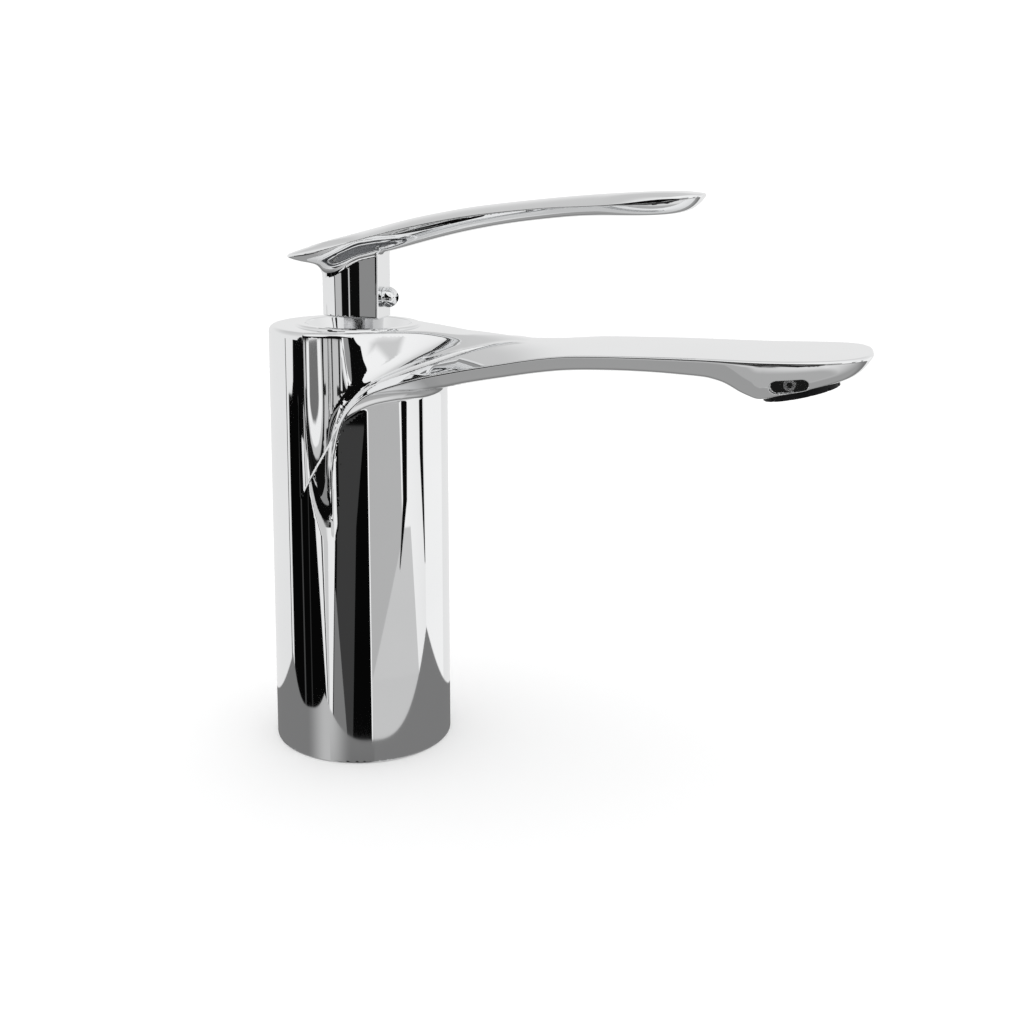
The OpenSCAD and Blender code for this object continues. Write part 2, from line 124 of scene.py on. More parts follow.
def blend_cut(a, b, k):
    """The overlap of two solids with a soft edge about k wide."""
    return -blend_union(-a, -b, k)


def round_cut(a, b, r):
    """The overlap of two solids with a round edge of radius r."""
    outer = np.sqrt(np.maximum(a + r, 0) ** 2 + np.maximum(b + r, 0) ** 2)
    return np.minimum(-r, np.maximum(a, b)) + outer


# ---- curves shared with the CAD part --------------------------------------------------------
# Centres (x, z) of the outlet's face and of the lock screw's recess, and how far each rises towards the tip
OUTLET = (116.6, 106.75)
OUTLET_TILT = math.radians(15)
LOCK_SLOT = (114.2, 109.1)
SLOT_TILT = math.radians(6.5)

# Keys are (x, value). The crease, whose keys are (x, z), is the sharp line where the spout's wings end.
CREASE = [(0, 30), (0, 55), (0, 72), (0.3, 82), (1.2, 88), (2.4, 92.5), (4.4, 96.6), (7.7, 100),
          (11.8, 102.6), (18.4, 105.0), (25.5, 107.1), (35, 109.3), (45, 111.4), (54, 113.2), (63, 114.3),
          (85, 115.1), (108, 115.4), (122, 116.0), (REACH + 0.5, 116.85)]
wing_width = Fair([(-3, 21.6), (3, 23.1), (8, 23.7), (14, 23.2), (25, 22.0), (38, 21.0), (50, 20.3),
                   (62, 20.0), (85, 20.0), (108, 19.7), (REACH, 19.6)])
belly_height = Fair([(-3, 84), (6, 95), (16, 100.2), (23, 101.6), (28, 102.7), (34, 104.1), (43, 105.9),
                     (51, 107.4), (59, 108.5), (70, 109.1), (80, 109.2), (88, 108.95), (94, 108.6),
                     (98, 107.8), (100, 106.9), (102, 105.8), (104.5, 104.9), (107, 104.2), (110.2, 105.03),
                     OUTLET, (125, 108.9), (REACH, 109.3)], 0.9)
drop_width = Fair([(-12, 25), (-3, 22.4), (4, 20.6), (11, 14.8), (20, 8.8), (30, 6.2), (38, 3.6), (44, 1.2),
                   (60, 0.6)], 1.5)
foot_width = Fair([(-12, 26), (-3, 23), (2, 21.4), (8, 20.4), (18, 16.9), (25, 15.2), (33, 12.4), (40, 8.0),
                   (47, 3.4), (60, 2.4)], 1.5)
foot_height = Fair([(-3, 84), (2, 93), (8, 101.8), (18, 107), (25, 110), (33, 112.7), (40, 113.9),
                    (46, 114.1), (60, 106)], 1.5)
drop_height = Fair([(-3, BODY_H), (20, BODY_H), (30, 116.05), (38, 115.6), (46, 114.7), (60, 107)], 1.5)
# Radius of the round edge at the column's top
RIM_R = 1.6
# Depth of the hollow beside the column's top, where it starts and how far it takes to reach full depth
GROOVE = 2.4
GROOVE_FROM = 62
GROOVE_RISE = 40
# Share of the flank's width that falls straight before its rounded foot
STRAIGHT = 0.45


# ---- the crease -----------------------------------------------------------------------------
def crease_line():
    """The crease's X and Z along its own length, and that length."""
    k = np.array(CREASE, float)
    run = np.concatenate([[0], np.cumsum(np.hypot(*np.diff(k, axis=0).T))])
    return Fair(list(zip(run, k[:, 0])), 2.0), Fair(list(zip(run, k[:, 1])), 2.0), run[-1]


CREASE_X, CREASE_Z, CREASE_RUN = crease_line()


class CreaseDistance:
    """Distance in the XZ plane from the crease, positive above it and behind it, from a table."""

    def __init__(self, pitch=0.5):
        self.pitch = pitch
        self.x0, self.z0 = -30.0, -4.0
        x = np.arange(self.x0, REACH + 8, pitch)
        z = np.arange(self.z0, BODY_H + 8, pitch)
        gx, gz = (g.ravel() for g in np.meshgrid(x, z, indexing="ij"))
        at = np.arange(-10, CREASE_RUN + 10, 1.0)
        cx, cz = CREASE_X(at), CREASE_Z(at)
        s = np.empty(len(gx))
        for start in range(0, len(gx), 20000):
            part = slice(start, start + 20000)
            gap = (gx[part, None] - cx) ** 2 + (gz[part, None] - cz) ** 2
            s[part] = at[gap.argmin(1)]
        for _ in range(4):
            tx, tz = CREASE_X.slope(s), CREASE_Z.slope(s)
            move = ((gx - CREASE_X(s)) * tx + (gz - CREASE_Z(s)) * tz) / (tx * tx + tz * tz)
            s = np.clip(s + np.clip(move, -1, 1), -20, CREASE_RUN + 20)
        tx, tz = CREASE_X.slope(s), CREASE_Z.slope(s)
        away = (gz - CREASE_Z(s)) * tx - (gx - CREASE_X(s)) * tz
        self.table = (away / np.hypot(tx, tz)).reshape(len(x), len(z))

    def __call__(self, x, z):
        u = np.clip((x - self.x0) / self.pitch, 1, self.table.shape[0] - 3.001)
        v = np.clip((z - self.z0) / self.pitch, 1, self.table.shape[1] - 3.001)
        i, j = u.astype(int), v.astype(int)
        wu, wv = cubic_weights(u - i), cubic_weights(v - j)
        return sum(wu[a] * wv[b] * self.table[i + a - 1, j + b - 1] for a in range(4) for b in range(4))


crease_distance = CreaseDistance()


# ---- the body's solid, as a distance-like field in millimetres ------------------------------
def column_radius(z):
    """The column's radius, which tapers from the base to the top."""
    return BASE_R + (TOP_R - BASE_R) * z / BODY_H


TIP_START = 108
TIP_END = REACH + 0.35
TIP_POWER = 3.1
DECK_LEVEL = 115.0


def wing_side(x, y):
    """0 in the middle of the spout, 1 at the wing's edge and round its blunt tip."""
    t = np.clip((x - TIP_START) / (TIP_END - TIP_START), 0, None)
    return (t ** TIP_POWER + (np.abs(y) / wing_width(x)) ** TIP_POWER) ** (1 / TIP_POWER)


def height_over_spout():
    """The crease's height against X, forward of the column's axis."""
    at = np.linspace(62, CREASE_RUN + 12, 400)
    return Fair(list(zip(CREASE_X(at), CREASE_Z(at))), 0.5)


crease_height = height_over_spout()


def wings(x, y, z):
    """The column's front with the spout growing out of it, ended above by the crease."""
    s = wing_side(x, y)
    w = wing_width(x)
    edge, belly = crease_height(x), belly_height(x)
    # The section under the spout grows fuller over the outlet's boss and again towards the tip
    power = 3 + 1.5 * np.clip((x - 94) / 12, 0, 1) + 2.5 * np.clip((x - TIP_START) / 17, 0, 1)
    low = edge - (edge - belly) * (1 - s ** power)
    steep = (edge - belly) * power * s ** (power - 1) / w
    under = (low - z) / np.sqrt(1 + steep ** 2 + belly_height.slope(x) ** 2)
    column = np.sqrt(x * x + y * y) - column_radius(z)
    fillet = 1.8 * smooth((x + 2) / 10) + 0.4
    lower = blend_union(column, under, fillet)
    # The deck is domed beside the column and almost flat along the spout
    crown = np.clip(DECK_LEVEL - edge, 0.15, 6.2)
    deck = (crease_distance(x, z) - crown * (1 - s ** 2)) / np.sqrt(1 + (2 * crown * s / w) ** 2)
    edge_r = 0.55 + 0.6 * smooth((x - 45) / 45)
    return round_cut(lower, deck, edge_r)


def drop_flank(x, y, z):
    """The flanks that fall from the drop-shaped top to the wings."""
    h = np.maximum(drop_width(x), 0.3)
    f = np.maximum(foot_width(x), h + 0.4)
    top, foot = drop_height(x), foot_height(x)
    u = (np.abs(y) - h) / (f - h)
    bend = np.clip(u - STRAIGHT, 0, 1 - STRAIGHT)
    fall = 2 / (1 + STRAIGHT) * (np.minimum(u, 1) - bend ** 2 / (2 - 2 * STRAIGHT))
    past = np.maximum(np.abs(y) - f, 0)
    height = top - (top - foot) * fall - 0.15 * past ** 2
    slope = (top - foot) / (f - h) * 2 / (1 + STRAIGHT) * (1 - bend / (1 - STRAIGHT)) + 0.3 * past
    turn = drop_width.slope(x)
    flank = (z - height) / np.sqrt(1 + slope ** 2 * (1 + turn ** 2))
    return np.minimum(flank, z - foot + 0.15 * past ** 2), top, foot, f


def rear(x, y, z):
    """The column behind the crease, slimmer beside it, with the drop-shaped top."""
    radius = column_radius(z)
    risen = smooth((z - GROOVE_FROM) / GROOVE_RISE)
    step = GROOVE * risen * smooth((x + 9) / 9)
    shell = np.hypot(np.minimum(x, 0) + (1 - risen) * np.maximum(x, 0), y) - radius
    sides = blend_cut(shell, np.abs(y) - (radius - step), 3.0 * step / GROOVE + 0.01)
    flank, top, foot, f = drop_flank(x, y, z)
    upper = round_cut(flank, z - top, 1.0)
    # Forward of the column's axis this solid is no wider than the drop's foot and stays above the belly
    front = smooth((x - 2) / 4)
    wall_width = (1 - front) * (GROOVE + column_radius(0)) + front * (f - 0.5 * np.maximum(foot - z, 0))
    wall = np.abs(y) - wall_width
    floor = np.maximum(foot - 6, belly_height(x) + 2.5) - 200 * np.clip((17 - x) / 4, 0, 1) - z
    return np.maximum(np.maximum(round_cut(sides, upper, RIM_R), wall), floor)


def cylinder(x, y, z, centre, r, low, high):
    """An upright cylinder between two heights."""
    return np.maximum(np.hypot(x - centre[0], y - centre[1]) - r, np.maximum(low - z, z - high))


def tilted_frame(x, z, centre, tilt):
    """Place along a line through centre that rises by tilt, and height above that line."""
    dx, dz = x - centre[0], z - centre[1]
    c, s = math.cos(tilt), math.sin(tilt)
    return dx * c + dz * s, dz * c - dx * s


# Radii and heights of what is cut out of the body
RECESS_R, RECESS_H = 20, 10
GASKET_IN, GASKET_OUT, GASKET_H = 21.2, 23.35, 2.5
STUD_X, STUD_R, STUD_H = 9.5, 3.4, 24
INLET_X, INLET_Y, INLET_R, INLET_H = -3, 7, 4.5, 22
CHAMBER_R, CHAMBER_FLOOR = 12.7, 84
CAP_SEAT_R, CAP_SEAT = 14.5, 109.5
POCKET_R, POCKET_DEPTH, POCKET_PAST = 9.55, 5, 6
SLOT_HALF, SLOT_R, SLOT_FLOOR = 2.85, 1.85, -12
# Heights well outside the body, where an open end of a cut lies
BELOW, ABOVE = -5, 140


def foot_hollows(x, y, z):
    """The recess under the foot, the gasket's groove, the stud hole and the two inlets."""
    groove = cylinder(x, y, z, (0, 0), GASKET_OUT, BELOW, GASKET_H)
    return [
        cylinder(x, y, z, (0, 0), RECESS_R, BELOW, RECESS_H),
        np.maximum(groove, GASKET_IN - np.hypot(x, y)),
        cylinder(x, y, z, (STUD_X, 0), STUD_R, RECESS_H / 2, STUD_H),
        cylinder(x, y, z, (INLET_X, INLET_Y), INLET_R, RECESS_H / 2, INLET_H),
        cylinder(x, y, z, (INLET_X, -INLET_Y), INLET_R, RECESS_H / 2, INLET_H),
    ]


def outlet_hollows(x, y, z):
    """The aerator's pocket, cut from just past the outlet's face, and its lock screw's oval recess."""
    along, up = tilted_frame(x, z, OUTLET, OUTLET_TILT)
    pocket = np.maximum(np.hypot(along, y) - POCKET_R, np.maximum(-POCKET_PAST - up, up - POCKET_DEPTH))
    slot_along, slot_up = tilted_frame(x, z, LOCK_SLOT, SLOT_TILT)
    slot_ends = np.maximum(np.abs(slot_along) - SLOT_HALF, 0)
    slot = np.maximum(np.hypot(slot_ends, slot_up) - SLOT_R, y - SLOT_FLOOR)
    return [pocket, slot]


def hollows(x, y, z):
    """Everything cut out of the body that can be seen from outside."""
    cuts = foot_hollows(x, y, z) + outlet_hollows(x, y, z)
    cuts.append(cylinder(x, y, z, (0, 0), CHAMBER_R, CHAMBER_FLOOR, ABOVE))
    cuts.append(cylinder(x, y, z, (0, 0), CAP_SEAT_R, CAP_SEAT, ABOVE))
    total = cuts[0]
    for cut in cuts[1:]:
        total = np.minimum(total, cut)
    return total


def body_field(x, y, z):
    """The whole body: both solids joined by a fillet that grows with the hollow beside the column's top."""
    front, back = wings(x, y, z), rear(x, y, z)
    fillet = 2.6 * smooth((z - GROOVE_FROM) / GROOVE_RISE)
    solid = blend_union(front, back, fillet)
    solid = round_cut(solid, -z, 0.4)
    return round_cut(solid, -hollows(x, y, z), 0.2)


# ---- the lever's solid ----------------------------------------------------------------------
lever_edge = Fair([(-20, 134.2), (-10, 135.8), (0, 138.6), (12.5, 142.0), (28.6, 145.5), (41, 147.4),
                   (54, 148.8), (65, 149.5), (76, 150.4), (84, 151.6), (LEVER_FRONT, 152.8)])
lever_top = Fair([(-20, 135.5), (-15, 136.4), (-10.5, 137.6), (-3.7, 139.7), (5.3, 142.2), (16, 145.1),
                  (25, 147.0), (32, 148.3), (48, 150.4), (63, 152.0), (76, 152.95), (85, 153.37),
                  (LEVER_FRONT, 153.45)])
lever_under = Fair([(-20, 132.3), (-15, 132.6), (-9, 132.5), (0, 134.2), (11, 136.8), (20, 139.4),
                    (30, 142.0), (41, 144.2), (50, 145.5), (60, 146.6), (72, 147.1), (79, 147.4), (86, 148.0),
                    (LEVER_FRONT, 148.7)])
# Half width of the lever along its length, as a share of LEVER_W
lever_bow = Fair([(-20, 0.86), (0, 0.93), (20, 0.92), (45, 0.94), (72, 1.06), (LEVER_FRONT, 1.08)])
# Where the lever's nose and heel start to round off in plan, and how square each is
NOSE_FROM, NOSE_POWER = 71, 3.6
HEEL_FROM, HEEL_POWER = 4, 2.6
LEVER_MIDDLE = 30
STEM_LOW = 119
STEM_W = 10.4
# The stem's flat front, its round back, and where the round back begins
STEM_FRONT, STEM_BACK, STEM_BEND = 7.4, -9.9, 3.2
STEM_DRAFT = 0.012
SCREW_Z, SCREW_R = 124.4, 2.5
SOCKET_HALF, SOCKET_TOP = 3.8, 132.3


def lever_side(x, y):
    """0 in the middle of the lever, 1 all round its edge."""
    w = LEVER_W * lever_bow(x)
    front = np.clip((x - NOSE_FROM) / (LEVER_FRONT - NOSE_FROM), 0, None)
    back = np.clip((HEEL_FROM - x) / (LEVER_REAR + HEEL_FROM), 0, None)
    power = np.where(x > LEVER_MIDDLE, NOSE_POWER, HEEL_POWER)
    return (np.maximum(front, back) ** power + (np.abs(y) / w) ** power) ** (1 / power), w


def lever_blade(x, y, z):
    """The arched blade, domed above and below its edge, with a fuller section at both ends."""
    s, w = lever_side(x, y)
    edge, top, low = (curve(x) for curve in (lever_edge, lever_top, lever_under))
    ends = np.maximum(smooth((x - 64) / 18), smooth((HEEL_FROM - x) / 18))
    p_top, p_low = 2 + 6 * ends, 3 + 5 * ends
    tilt = lever_edge.slope(x)
    above = z - edge - (top - edge) * (1 - s ** p_top)
    above /= np.sqrt(1 + tilt ** 2 + ((top - edge) * p_top * s ** (p_top - 1) / w) ** 2)
    below = edge - (edge - low) * (1 - s ** p_low) - z
    below /= np.sqrt(1 + tilt ** 2 + ((edge - low) * p_low * s ** (p_low - 1) / w) ** 2)
    return round_cut(above, below, 0.3 + 0.4 * ends)


def lever_stem(x, y, z):
    """The stem: flat in front, oval behind, and slightly narrower upwards."""
    half = STEM_W / 2 + (STEM_LOW - z) * STEM_DRAFT
    reach_back = STEM_BEND - STEM_BACK
    ex, ey = np.minimum(x - STEM_BEND, 0) / reach_back, y / half
    rho = np.sqrt(ex ** 2 + ey ** 2)
    oval = (rho - 1) * rho / np.maximum(np.sqrt((ex / reach_back) ** 2 + (ey / half) ** 2), 1e-4)
    plan = round_cut(oval, x - STEM_FRONT, 0.6)
    top = (z - lever_edge(x)) / np.sqrt(1 + lever_edge.slope(x) ** 2) + 0.6
    return np.maximum(round_cut(plan, STEM_LOW - z, 0.25), top)


def lever_field(x, y, z):
    """Blade and stem in one, with the square socket for the spindle and the set screw's hole."""
    fillet = 1.4 + 2.4 * smooth((3 - x) / 10)
    solid = blend_union(lever_blade(x, y, z), lever_stem(x, y, z), fillet)
    socket = np.maximum(np.maximum(np.abs(x), np.abs(y)) - SOCKET_HALF, z - SOCKET_TOP)
    screw = np.maximum(np.hypot(y, z - SCREW_Z) - SCREW_R, -x)
    return round_cut(solid, -np.minimum(socket, screw), 0.15)


# ---- from field to mesh ---------------------------------------------------------------------
BODY_STEP = 0.62
LEVER_STEP = 0.42
# Edges across which the surface turns by more than SHARP_TURN degrees are halved, down to this length
SHORTEST_EDGE = 0.18
SHARP_TURN = 14
CORNERS = [(i, j, k) for i in (0, 1) for j in (0, 1) for k in (0, 1)]
EDGES = [(a, b) for a in range(8) for b in range(a + 1, 8)
         if sum(abs(p - q) for p, q in zip(CORNERS[a], CORNERS[b])) == 1]


def corner_view(grid, c):
    """The grid's values at corner c of each of its cells."""
    nx, ny, nz = grid.shape
    return grid[c[0]:nx - 1 + c[0], c[1]:ny - 1 + c[1], c[2]:nz - 1 + c[2]]


def crossing_points(values, cells):
    """The middle of the places where the surface crosses each marked cell's edges, in cell units."""
    at = [corner_view(values, c)[cells] for c in CORNERS]
    total = np.zeros((len(at[0]), 3))
    hits = np.zeros(len(at[0]))
    for a, b in EDGES:
        crossed = (at[a] < 0) != (at[b] < 0)
        t = np.where(crossed, at[a] / np.where(crossed, at[a] - at[b], 1), 0)
        ca, cb = np.array(CORNERS[a], float), np.array(CORNERS[b], float)
        total += crossed[:, None] * (ca + t[:, None] * (cb - ca))
        hits += crossed
    return total / hits[:, None]


def quads_across(inside, index, axis):
    """A quad round each grid line along axis that the surface crosses, facing outwards."""
    u, v = (axis + 1) % 3, (axis + 2) % 3
    lo = [slice(1, -1)] * 3
    lo[axis] = slice(0, -1)
    hi = list(lo)
    hi[axis] = slice(1, None)
    first, second = inside[tuple(lo)], inside[tuple(hi)]
    where = np.argwhere(first != second)
    where[:, u] += 1
    where[:, v] += 1
    ring = []
    for du, dv in ((-1, -1), (0, -1), (0, 0), (-1, 0)):
        cell = where.copy()
        cell[:, u] += du
        cell[:, v] += dv
        ring.append(index[cell[:, 0], cell[:, 1], cell[:, 2]])
    quads = np.stack(ring, 1)
    out = first[first != second]
    quads[~out] = quads[~out][:, ::-1]
    return quads


def surface_net(field, low, high, step):
    """Quads over the field's zero surface: one point in each grid cell that the surface crosses."""
    axes = [np.arange(l - step, h + 2 * step, step) for l, h in zip(low, high)]
    x, y, z = axes[0][:, None, None], axes[1][None, :, None], axes[2][None, None, :]
    values = np.broadcast_to(field(x, y, z), (len(axes[0]), len(axes[1]), len(axes[2])))
    inside = values < 0
    count = sum(corner_view(inside, c).astype(np.int8) for c in CORNERS)
    cells = (count > 0) & (count < 8)
    index = np.full(cells.shape, -1, np.int64)
    index[cells] = np.arange(cells.sum())
    start = np.array([a[0] for a in axes])
    points = start + (np.argwhere(cells) + crossing_points(values, cells)) * step
    return points, np.concatenate([quads_across(inside, index, axis) for axis in range(3)])


def gradient(field, p, h=0.03):
    """The field's slope at each point, from its values h to either side."""
    out = np.empty_like(p)
    for axis in range(3):
        d = np.zeros(3)
        d[axis] = h
        a, b = p + d, p - d
        out[:, axis] = (field(a[:, 0], a[:, 1], a[:, 2]) - field(b[:, 0], b[:, 1], b[:, 2])) / (2 * h)
    return out


def settle(field, p, rounds, limit):
    """Moves points onto the field's zero surface."""
    for _ in range(rounds):
        g = gradient(field, p)
        move = -field(p[:, 0], p[:, 1], p[:, 2])[:, None] * g / np.maximum((g * g).sum(1), 0.05)[:, None]
        size = np.linalg.norm(move, axis=1)[:, None]
        p = p + move * np.minimum(1, limit / np.maximum(size, 1e-9))
    return p


def unit_normals(field, points):
    """The surface's outward direction at each point."""
    normals = gradient(field, points)
    return normals / np.maximum(np.linalg.norm(normals, axis=1), 1e-6)[:, None]


def halve_faces(faces, m):
    """The triangles cut at their halved edges; m holds each edge's middle point, or -1 for none."""
    done = [faces[(m < 0).all(1)]]
    for turned in range(3):
        v, w = np.roll(faces, -turned, 1), np.roll(m, -turned, 1)
        one = (w[:, 0] >= 0) & (w[:, 1] < 0) & (w[:, 2] < 0)
        two = (w[:, 0] >= 0) & (w[:, 1] >= 0) & (w[:, 2] < 0)
        a, b, c = v[one].T
        ab = w[one][:, 0]
        done += [np.stack([a, ab, c], 1), np.stack([ab, b, c], 1)]
        a, b, c = v[two].T
        ab, bc = w[two][:, 0], w[two][:, 1]
        done += [np.stack([ab, b, bc], 1), np.stack([a, ab, bc], 1), np.stack([a, bc, c], 1)]
    full = (m >= 0).all(1)
    (a, b, c), (ab, bc, ca) = faces[full].T, m[full].T
    done += [np.stack(t, 1) for t in ((a, ab, ca), (ab, b, bc), (ca, bc, c), (ab, bc, ca))]
    return np.concatenate(done)


def split_edges(field, points, faces, normals, shortest, turn):
    """Halves each edge across which the surface turns sharply, and the triangles beside it."""
    pairs = np.sort(np.stack([faces, np.roll(faces, -1, 1)], 2), 2).reshape(-1, 2)
    edges, of_face = np.unique(pairs, axis=0, return_inverse=True)
    length = np.linalg.norm(points[edges[:, 0]] - points[edges[:, 1]], axis=1)
    bend = (normals[edges[:, 0]] * normals[edges[:, 1]]).sum(1)
    marked = (bend < math.cos(math.radians(turn))) & (length > shortest)
    if not marked.any():
        return points, faces, normals
    middle = np.full(len(edges), -1)
    middle[marked] = len(points) + np.arange(marked.sum())
    added = settle(field, points[edges[marked]].mean(1), 3, shortest)
    points = np.concatenate([points, added])
    normals = np.concatenate([normals, unit_normals(field, added)])
    return points, halve_faces(faces, middle[of_face].reshape(-1, 3)), normals


def shape_from_field(name, field, low, high, step):
    """A smooth mesh of the field's zero surface, finer where it turns sharply."""
    points, quads = surface_net(field, low, high, step)
    points = settle(field, points, 3, step * 0.5)
    normals = unit_normals(field, points)
    faces = np.concatenate([quads[:, [0, 1, 2]], quads[:, [0, 2, 3]]])
    for _ in range(3):
        points, faces, normals = split_edges(field, points, faces, normals, SHORTEST_EDGE, SHARP_TURN)
    mesh = bpy.data.meshes.new(name)
    mesh.from_pydata((points * MM).tolist(), [], faces.tolist())
    mesh.update()
    mesh.polygons.foreach_set("use_smooth", np.ones(len(mesh.polygons), bool))
    mesh.normals_split_custom_set_from_vertices(normals.tolist())
    piece = bpy.data.objects.new(name, mesh)
    bpy.context.scene.collection.objects.link(piece)
    return piece


# ---- materials ------------------------------------------------------------------------------
def new_material(name, colour, metallic, rough):
    """A plain material and its shader, for others to build on."""
    m = bpy.data.materials.new(name)
    m.use_nodes = True
    shader = m.node_tree.nodes["Principled BSDF"]
    shader.inputs["Base Color"].default_value = (*colour, 1)
    shader.inputs["Metallic"].default_value = metallic
    shader.inputs["Roughness"].default_value = rough
    return m, shader


def noise(tree, scale, detail=3.0, stretch=(1, 1, 1)):
    """Soft spots fixed to the object, about scale of them in a metre."""
    place = tree.nodes.new("ShaderNodeTexCoord")
    mapping = tree.nodes.new("ShaderNodeMapping")
    mapping.inputs["Scale"].default_value = stretch
    texture = tree.nodes.new("ShaderNodeTexNoise")
    texture.inputs["Scale"].default_value = scale
    texture.inputs["Detail"].default_value = detail
    tree.links.new(place.outputs["Object"], mapping.inputs["Vector"])
    tree.links.new(mapping.outputs["Vector"], texture.inputs["Vector"])
    return texture.outputs["Fac"]


def spread(tree, value, low, high, start=0.3, end=0.7):
    """low where value is at start, high where it is at end."""
    node = tree.nodes.new("ShaderNodeMapRange")
    node.inputs["From Min"].default_value = start
    node.inputs["From Max"].default_value = end
    node.inputs["To Min"].default_value = low
    node.inputs["To Max"].default_value = high
    tree.links.new(value, node.inputs["Value"])
    return node.outputs["Result"]


def tint(tree, value, dark, light):
    """A colour between dark and light, as value rises."""
    node = tree.nodes.new("ShaderNodeValToRGB")
    node.color_ramp.elements[0].position = 0.3
    node.color_ramp.elements[0].color = (*dark, 1)
    node.color_ramp.elements[1].position = 0.7
    node.color_ramp.elements[1].color = (*light, 1)
    tree.links.new(value, node.inputs["Fac"])
    return node.outputs["Color"]


def bump(tree, shader, value, strength, distance):
    """Relief from value, up to distance metres deep."""
    node = tree.nodes.new("ShaderNodeBump")
    node.inputs["Strength"].default_value = strength
    node.inputs["Distance"].default_value = distance
    tree.links.new(value, node.inputs["Height"])
    tree.links.new(node.outputs["Normal"], shader.inputs["Normal"])


def finish_like(name, dark, light, metallic, rough, rough_scale, bump_scale, relief, stretch=(1, 1, 1)):
    """A surface with its colour, gloss and relief varied at the scale of the real finish.

    Colour runs from dark to light, and roughness between the two values of rough. The scales are in
    spots a metre.
    """
    m, shader = new_material(name, light, metallic, rough[0])
    tree = m.node_tree
    tree.links.new(tint(tree, noise(tree, rough_scale * 0.6), dark, light), shader.inputs["Base Color"])
    gloss = spread(tree, noise(tree, rough_scale, 5, stretch), rough[0], rough[1])
    tree.links.new(gloss, shader.inputs["Roughness"])
    bump(tree, shader, noise(tree, bump_scale, 4, stretch), relief, 0.0001)
    return m


def chrome(name, wipe=(1, 1, 1)):
    """Bright chrome plate: faint wiping marks in its gloss and the slightest waviness."""
    return finish_like(name, (0.90, 0.905, 0.91), (0.93, 0.935, 0.94), 1.0, (0.012, 0.03), 55, 30, 0.02, wipe)


def turned_steel():
    """Stainless steel with a fine grain from the lathe."""
    return finish_like("turned_steel", (0.62, 0.62, 0.63), (0.8, 0.8, 0.81), 1.0, (0.14, 0.28), 700, 1200,
                       0.2, (6, 1, 1))


def woven_steel():
    return finish_like("woven_steel", (0.38, 0.38, 0.39), (0.56, 0.56, 0.57), 1.0, (0.25, 0.4), 900,
                       1500, 0.3)


def white_acetal():
    return finish_like("moulded_white_acetal", (0.74, 0.74, 0.71), (0.82, 0.82, 0.79), 0.0, (0.35, 0.5), 300,
                       1800, 0.15)


def grey_acetal():
    return finish_like("moulded_grey_acetal", (0.16, 0.165, 0.175), (0.21, 0.215, 0.225), 0.0, (0.35, 0.5),
                       300, 1800, 0.15)


def black_acetal():
    """Matt black moulding that gives back very little light."""
    m = finish_like("moulded_black_acetal", (0.004, 0.004, 0.005), (0.009, 0.009, 0.01), 0.0, (0.3, 0.45),
                    300, 1600, 0.2)
    m.node_tree.nodes["Principled BSDF"].inputs["Specular IOR Level"].default_value = 0.12
    return m


def alumina():
    return finish_like("lapped_alumina", (0.86, 0.84, 0.78), (0.9, 0.88, 0.83), 0.0, (0.12, 0.2), 400,
                       2500, 0.05)


def black_rubber():
    return finish_like("black_rubber", (0.012, 0.012, 0.012), (0.025, 0.025, 0.026), 0.0, (0.6, 0.8), 500,
                       2200, 0.3)


def make_materials():
    """One material for each material slot of the record."""
    return {
        "chrome_body": chrome("polished_chrome_body", (1, 1, 0.35)),
        "chrome_lever": chrome("polished_chrome_lever", (0.35, 1, 1)),
        "chrome_cap": chrome("polished_chrome_cap"),
        "chrome_plug": chrome("polished_chrome_plug"),
        "stainless": turned_steel(),
        "mesh_steel": woven_steel(),
        "white_plastic": white_acetal(),
        "grey_plastic": grey_acetal(),
        "black_plastic": black_acetal(),
        "ceramic": alumina(),
        "rubber": black_rubber(),
    }


def dress_cad_nodes(materials):
    """Each CAD node's object takes the material of the record's slot for it."""
    slots = {}
    for part in frame["record"]["subparts"]:
        slots[part["node"]] = part["material_slot"]
    for name, piece in frame["nodes"].items():
        for slot in piece.material_slots:
            slot.material = materials[slots[name]]


# ---- the studio -----------------------------------------------------------------------------
def math_node(tree, operation, a, b=None, c=None):
    """The result of one sum on sockets or numbers."""
    node = tree.nodes.new("ShaderNodeMath")
    node.operation = operation
    for socket, value in zip(node.inputs, (a, b, c)):
        if value is None:
            continue
        if isinstance(value, (int, float)):
            socket.default_value = value
        else:
            tree.links.new(value, socket)
    return node.outputs[0]


def ramp(tree, value, start, end, low=0.0, high=1.0):
    """low up to start, high from end on, with a smooth rise between."""
    node = tree.nodes.new("ShaderNodeMapRange")
    node.interpolation_type = "SMOOTHSTEP"
    for socket, number in zip(("From Min", "From Max", "To Min", "To Max"), (start, end, low, high)):
        node.inputs[socket].default_value = number
    tree.links.new(value, node.inputs["Value"])
    return node.outputs["Result"]


def mix(tree, factor, a, b):
    """a where factor is 0, b where it is 1."""
    return math_node(tree, "MULTIPLY_ADD", factor, math_node(tree, "SUBTRACT", b, a), a)


